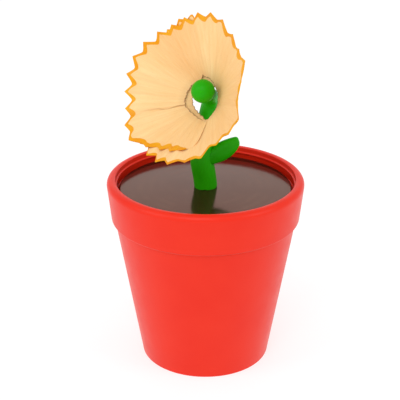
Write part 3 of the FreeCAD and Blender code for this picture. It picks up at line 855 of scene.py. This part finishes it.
def make_shaving(wood_material, paint_material):
    """The ribbon: a grid of turned angle by distance from the hole, given a thickness."""
    uneven = cusp_unevenness()
    count = int(TURNED / CUSP_STEP * CUSP_COLUMNS)
    columns = [CUSP_STEP * i / CUSP_COLUMNS for i in range(count + 1)]
    bm = bmesh.new()
    uv = bm.loops.layers.uv.new("ribbon")
    front, back = [], []
    place = {}
    for turned in columns:
        slants = ribbon_slants(turned, uneven)
        thickness = RIBBON_T * (START_THIN + (1 - START_THIN) * smooth(turned, *START_THICKENS))
        from_start = START_GRAIN * (1 - smooth(turned, *START_SETTLES))
        for side, depth in ((front, 0), (back, thickness)):
            line = []
            for slant in slants:
                v = bm.verts.new(ribbon_point(turned, slant, depth) * MM)
                along = (slant - slants[0] + from_start) * GRAIN_SCALE
                place[v] = (turned / GRAIN_TURN, along)
                line.append(v)
            side.append(line)

    def quad(corners, paint):
        face = bm.faces.new(corners)
        face.material_index = int(paint)
        for loop in face.loops:
            loop[uv].uv = place[loop.vert]

    wide, tall = len(columns), WOOD_ROWS + PAINT_ROWS + 1
    for i in range(wide - 1):
        painted = columns[i] > PAINTED_FROM
        for k in range(tall - 1):
            for side in (front, back):
                here, after = side[i], side[i + 1]
                quad((here[k], after[k], after[k + 1], here[k + 1]), painted and k >= WOOD_ROWS)
        for k in (0, tall - 1):
            quad((front[i][k], front[i + 1][k], back[i + 1][k], back[i][k]), painted and k > 0)
    for i in (0, wide - 1):
        for k in range(tall - 1):
            quad((front[i][k], front[i][k + 1], back[i][k + 1], back[i][k]), False)
    materials = [wood_material, paint_material]
    piece("shaving_flower", bm, "shaving", "pencil_shaving", materials, angle=50)


# --- stage -----------------------------------------------------------------------------------


def make_camera():
    """Looks down at the object from in front."""
    camera = bpy.data.objects.new("camera", bpy.data.cameras.new("camera"))
    bpy.context.scene.collection.objects.link(camera)
    camera.data.lens = LENS
    camera.data.sensor_width = SENSOR
    camera.data.clip_start, camera.data.clip_end = CLIP_NEAR, CLIP_FAR
    camera.location = CAMERA_PLACE
    camera.rotation_euler = (math.radians(90 - CAMERA_DOWN), 0, 0)
    bpy.context.scene.camera = camera


def make_light(name, azimuth, elevation, distance, size, power):
    """A square soft light aimed at the middle of the object."""
    data = bpy.data.lights.new(name, "AREA")
    data.shape = "SQUARE"
    data.size = size
    data.energy = power
    light = bpy.data.objects.new(name, data)
    bpy.context.scene.collection.objects.link(light)
    turn, rise = math.radians(azimuth), math.radians(elevation)
    level = math.cos(rise)
    away = Vector((math.sin(turn) * level, -math.cos(turn) * level, math.sin(rise)))
    light.location = LIGHT_TARGET + away * distance
    light.rotation_euler = away.to_track_quat("Z", "Y").to_euler()


def make_sky():
    """Even white light from all round, with colours shown as they are."""
    world = bpy.data.worlds.new("studio")
    world.use_nodes = True
    world.node_tree.nodes["Background"].inputs["Color"].default_value = (1, 1, 1, 1)
    world.node_tree.nodes["Background"].inputs["Strength"].default_value = SKY_LEVEL
    bpy.context.scene.world = world
    bpy.context.scene.view_settings.view_transform = "Standard"


def make_floor():
    """Pale paper that glows a little, so that it stays white around a soft shadow."""
    mesh = bpy.data.meshes.new("floor")
    half = FLOOR_HALF
    corners = [(-half, -half, 0), (half, -half, 0), (half, half, 0), (-half, half, 0)]
    mesh.from_pydata(corners, [], [(0, 1, 2, 3)])
    floor = bpy.data.objects.new("floor", mesh)
    bpy.context.scene.collection.objects.link(floor)
    n = Nodes("floor_paper")
    n.set(Base_Color=n.mix(n.noise(30.0), FLOOR_DARK, FLOOR_LIGHT), Roughness=0.9)
    n.set(Emission_Color=(1.0, 1.0, 1.0), Emission_Strength=FLOOR_GLOW, Specular_IOR_Level=0.1)
    mesh.materials.append(n.material)


# --- the scene -------------------------------------------------------------------------------

make_camera()
make_sky()
make_floor()
for light in LIGHTS:
    make_light(*light)

red = plastic(
    "pot_red", dark=(0.79, 0.021, 0.005), light=(0.81, 0.026, 0.007), rough=(0.32, 0.40), ior=1.30
)
green = plastic(
    "stem_green", dark=(0.011, 0.35, 0.0), light=(0.025, 0.41, 0.0), rough=(0.36, 0.44), ior=1.22
)
make_pot(red)
make_lid(soil_gloss("soil_brown"))
make_stem(green)
make_leaf(green)
make_shaving(wood("shaving_wood"), lacquer("pencil_lacquer"))

# The pieces inside the pot and under the lid keep their CAD meshes
zinc = metal("screw_steel", (0.66, 0.66, 0.62), rough=0.3, line_scale=(900.0, 900.0, 900.0))
inside_red = plastic(
    "base_red", dark=(0.60, 0.020, 0.006), light=(0.66, 0.026, 0.008), rough=(0.45, 0.55)
)
block = metal("block_metal", (0.72, 0.73, 0.74), rough=0.38, line_scale=(400.0, 400.0, 400.0))
hidden = {
    "base_plate": inside_red,
    "sharpener_block": block,
    "sharpener_blade": metal("blade_steel", (0.62, 0.63, 0.65), rough=0.22),
    "lid_grip_ring": rubber("ring_rubber"),
    "blade_screw": zinc,
    "stem_screw": zinc,
    "stem_washer": zinc,
    "base_screws": zinc,
}
for name, material in hidden.items():
    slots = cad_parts[name].data.materials
    slots.clear()
    slots.append(material)
